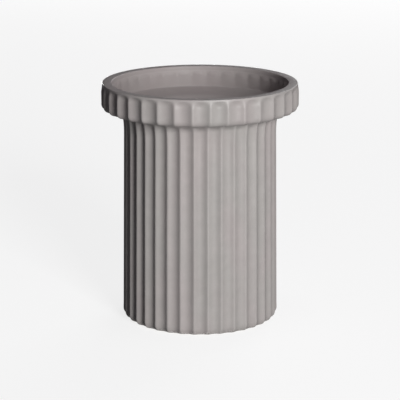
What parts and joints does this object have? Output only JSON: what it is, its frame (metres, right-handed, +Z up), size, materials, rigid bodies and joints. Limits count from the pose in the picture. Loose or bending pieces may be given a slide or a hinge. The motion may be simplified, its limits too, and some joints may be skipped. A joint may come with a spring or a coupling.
{
  "type": "flower pot",
  "caption": "Tall round ceramic flower pot with vertical flutes, a wider fluted collar with a plain lip, a drain hole with a rubber stopper and stick-on pads.",
  "frame": {"origin": "on the surface that the pot stands on, under the centre of the pot", "axes": "+Z up along the pot's axis, -Y towards the viewer of the picture, +X to the viewer's right"},
  "size_m": [0.1468, 0.1468, 0.181],
  "materials": {
    "ceramic": "matte warm grey glaze, fine grained",
    "stopper_rubber": "matte moulded rubber",
    "pad_rubber": "matte soft rubber"
  },
  "bodies": {
    "pot": {"pot_shell": "ceramic", "foot_pad_1": "pad_rubber", "foot_pad_2": "pad_rubber", "foot_pad_3": "pad_rubber", "foot_pad_4": "pad_rubber"},
    "stopper": {"drain_stopper": "stopper_rubber"}
  },
  "joints": [
    {"name": "stopper_lift", "type": "slide", "parent": "pot", "child": "stopper", "axis": [0, 0, 1], "range_m": [0, 0.185]}
  ]
}
